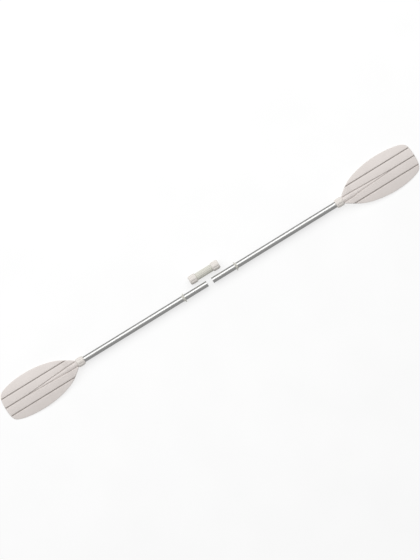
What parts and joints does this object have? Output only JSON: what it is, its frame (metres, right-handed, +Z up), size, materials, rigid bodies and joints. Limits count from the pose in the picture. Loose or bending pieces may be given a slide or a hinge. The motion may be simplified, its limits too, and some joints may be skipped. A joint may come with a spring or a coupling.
{
  "type": "kayak paddle",
  "caption": "Two-piece double-bladed kayak paddle, knocked down, with an aluminium shaft, moulded blades on compression nuts and a loose joint sleeve.",
  "frame": {"origin": "centre of the base, on the floor under the middle of the gap between the two halves", "axes": "+X along the shaft towards the right blade, +Y to the side where the joint sleeve lies, +Z up, away from the floor; the blades' backs face up"},
  "size_m": [2.228, 0.194, 0.044],
  "materials": {
    "blade_plastic": "satin moulded, warm light grey",
    "nut_plastic": "satin moulded, warm off-white",
    "sleeve_plastic": "satin moulded, warm grey",
    "collet_plastic": "natural acetal, matt",
    "cap_plastic": "black polyethylene, matt",
    "tube_aluminium": "drawn tube, clear anodised",
    "ring_rubber": "matt grey-beige",
    "seal_rubber": "matt black",
    "foam": "closed-cell foam, matt"
  },
  "bodies": {
    "left_shaft": {"left_shaft_tube": "tube_aluminium", "left_foam_plug": "foam", "left_tube_cap": "cap_plastic"},
    "right_shaft": {"right_shaft_tube": "tube_aluminium", "right_foam_plug": "foam", "right_tube_cap": "cap_plastic"},
    "left_drip_ring": {"left_drip_ring": "ring_rubber"},
    "left_seal": {"left_blade_seal": "seal_rubber"},
    "left_blade": {"left_blade": "blade_plastic"},
    "left_collet": {"left_blade_collet": "collet_plastic"},
    "left_nut": {"left_blade_nut": "nut_plastic"},
    "right_drip_ring": {"right_drip_ring": "ring_rubber"},
    "right_seal": {"right_blade_seal": "seal_rubber"},
    "right_blade": {"right_blade": "blade_plastic"},
    "right_collet": {"right_blade_collet": "collet_plastic"},
    "right_nut": {"right_blade_nut": "nut_plastic"},
    "sleeve": {"joint_sleeve": "sleeve_plastic", "sleeve_left_seal": "seal_rubber", "sleeve_right_seal": "seal_rubber"},
    "sleeve_left_collet": {"sleeve_left_collet": "collet_plastic"},
    "sleeve_left_nut": {"sleeve_left_nut": "nut_plastic"},
    "sleeve_right_collet": {"sleeve_right_collet": "collet_plastic"},
    "sleeve_right_nut": {"sleeve_right_nut": "nut_plastic"}
  },
  "joints": [
    {"name": "right_half_apart", "type": "slide", "parent": "left_shaft", "child": "right_shaft", "axis": [1, 0, 0], "range_m": [-0.027, 0.25]},
    {"name": "left_ring_slide", "type": "slide", "parent": "left_shaft", "child": "left_drip_ring", "axis": [-1, 0, 0], "range_m": [-0.05, 0.5]},
    {"name": "left_blade_pull", "type": "slide", "parent": "left_shaft", "child": "left_seal", "axis": [-1, 0, 0], "range_m": [0, 0.08]},
    {"name": "left_blade_feather", "type": "hinge", "parent": "left_seal", "child": "left_blade", "pos_m": [-0.716, 0, 0.022], "axis": [-1, 0, 0], "range_deg": [-90, 90]},
    {"name": "left_collet_back", "type": "slide", "parent": "left_blade", "child": "left_collet", "axis": [1, 0, 0], "range_m": [0, 0.0045]},
    {"name": "left_nut_turn", "type": "hinge", "parent": "left_collet", "child": "left_nut", "pos_m": [-0.7, 0, 0.022], "axis": [1, 0, 0], "range_deg": [0, 540]},
    {"name": "right_ring_slide", "type": "slide", "parent": "right_shaft", "child": "right_drip_ring", "axis": [1, 0, 0], "range_m": [-0.05, 0.5]},
    {"name": "right_blade_pull", "type": "slide", "parent": "right_shaft", "child": "right_seal", "axis": [1, 0, 0], "range_m": [0, 0.08]},
    {"name": "right_blade_feather", "type": "hinge", "parent": "right_seal", "child": "right_blade", "pos_m": [0.716, 0, 0.022], "axis": [1, 0, 0], "range_deg": [-90, 90]},
    {"name": "right_collet_back", "type": "slide", "parent": "right_blade", "child": "right_collet", "axis": [-1, 0, 0], "range_m": [0, 0.0045]},
    {"name": "right_nut_turn", "type": "hinge", "parent": "right_collet", "child": "right_nut", "pos_m": [0.7, 0, 0.022], "axis": [-1, 0, 0], "range_deg": [0, 540]},
    {"name": "sleeve_aside", "type": "slide", "parent": "left_shaft", "child": "sleeve", "axis": [0, 1, 0], "range_m": [0, 0.1]},
    {"name": "sleeve_left_collet_back", "type": "slide", "parent": "sleeve", "child": "sleeve_left_collet", "axis": [-1, 0, 0], "range_m": [0, 0.0045]},
    {"name": "sleeve_left_nut_turn", "type": "hinge", "parent": "sleeve_left_collet", "child": "sleeve_left_nut", "pos_m": [-0.06, 0.0525, 0.022], "axis": [-1, 0, 0], "range_deg": [0, 540]},
    {"name": "sleeve_right_collet_back", "type": "slide", "parent": "sleeve", "child": "sleeve_right_collet", "axis": [1, 0, 0], "range_m": [0, 0.0045]},
    {"name": "sleeve_right_nut_turn", "type": "hinge", "parent": "sleeve_right_collet", "child": "sleeve_right_nut", "pos_m": [0.06, 0.0525, 0.022], "axis": [1, 0, 0], "range_deg": [0, 540]}
  ],
  "couplings": [
    {"joint": "left_collet_back", "follows": "left_nut_turn", "m_per_rad": 0.00047746},
    {"joint": "right_collet_back", "follows": "right_nut_turn", "m_per_rad": 0.00047746},
    {"joint": "sleeve_left_collet_back", "follows": "sleeve_left_nut_turn", "m_per_rad": 0.00047746},
    {"joint": "sleeve_right_collet_back", "follows": "sleeve_right_nut_turn", "m_per_rad": 0.00047746}
  ]
}
